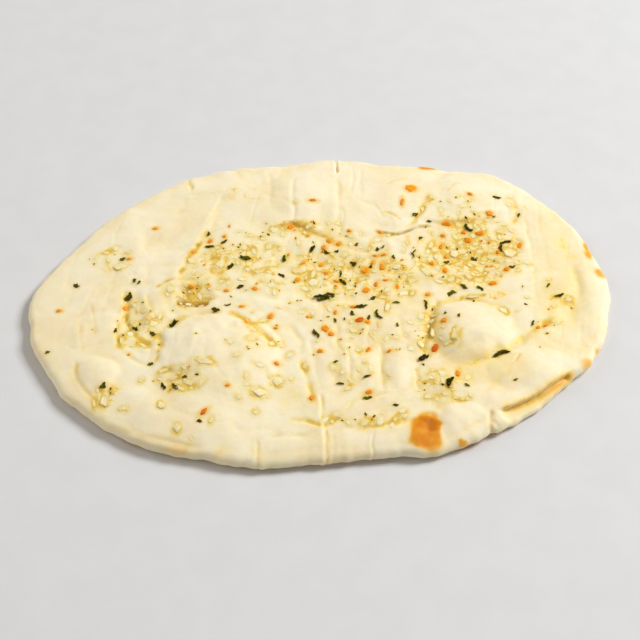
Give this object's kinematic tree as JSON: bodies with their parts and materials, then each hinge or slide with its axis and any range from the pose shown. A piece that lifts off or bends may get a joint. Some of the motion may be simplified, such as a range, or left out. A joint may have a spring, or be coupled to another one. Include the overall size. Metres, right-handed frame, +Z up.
{
  "type": "naan bread",
  "caption": "Oval leavened flatbread with puffed bubbles, butter-filled creases and a thin rounded rim, strewn with chopped garlic, herb leaf and chilli.",
  "frame": {"origin": "on the surface that the bread lies on, under the middle of its outline", "axes": "+X along the bread's length, +Y across it, +Z up out of the crust"},
  "size_m": [0.281, 0.1974, 0.0158],
  "materials": {
    "crust": "matte",
    "garlic": "satin",
    "herb": "matte",
    "chilli": "satin"
  },
  "bodies": {
    "root": {"chilli_bit_01": "chilli", "chilli_bit_02": "chilli", "chilli_bit_03": "chilli", "chilli_bit_04": "chilli", "chilli_bit_05": "chilli", "chilli_bit_06": "chilli", "chilli_bit_07": "chilli", "chilli_bit_08": "chilli", "chilli_bit_09": "chilli", "chilli_bit_10": "chilli", "chilli_bit_11": "chilli", "chilli_bit_12": "chilli", "chilli_bit_13": "chilli", "chilli_bit_14": "chilli", "chilli_bit_15": "chilli", "chilli_bit_16": "chilli", "chilli_bit_17": "chilli", "chilli_bit_18": "chilli", "chilli_bit_19": "chilli", "chilli_bit_20": "chilli", "garlic_piece_01": "garlic", "garlic_piece_02": "garlic", "garlic_piece_03": "garlic", "garlic_piece_04": "garlic", "garlic_piece_05": "garlic", "garlic_piece_06": "garlic", "garlic_piece_07": "garlic", "garlic_piece_08": "garlic", "garlic_piece_09": "garlic", "garlic_piece_10": "garlic", "garlic_piece_11": "garlic", "garlic_piece_12": "garlic", "garlic_piece_13": "garlic", "garlic_piece_14": "garlic", "garlic_piece_15": "garlic", "garlic_piece_16": "garlic", "garlic_piece_17": "garlic", "herb_flake_01": "herb", "herb_flake_02": "herb", "herb_flake_03": "herb", "herb_flake_04": "herb", "herb_flake_05": "herb", "herb_flake_06": "herb", "herb_flake_07": "herb", "herb_flake_08": "herb", "herb_flake_09": "herb", "herb_flake_10": "herb", "herb_flake_11": "herb", "herb_flake_12": "herb", "herb_flake_13": "herb", "herb_flake_14": "herb", "herb_flake_15": "herb", "herb_flake_16": "herb", "herb_flake_17": "herb", "herb_flake_18": "herb", "herb_flake_19": "herb", "herb_flake_20": "herb", "herb_flake_21": "herb", "herb_flake_22": "herb", "naan_bread": "crust"}
  },
  "joints": []
}
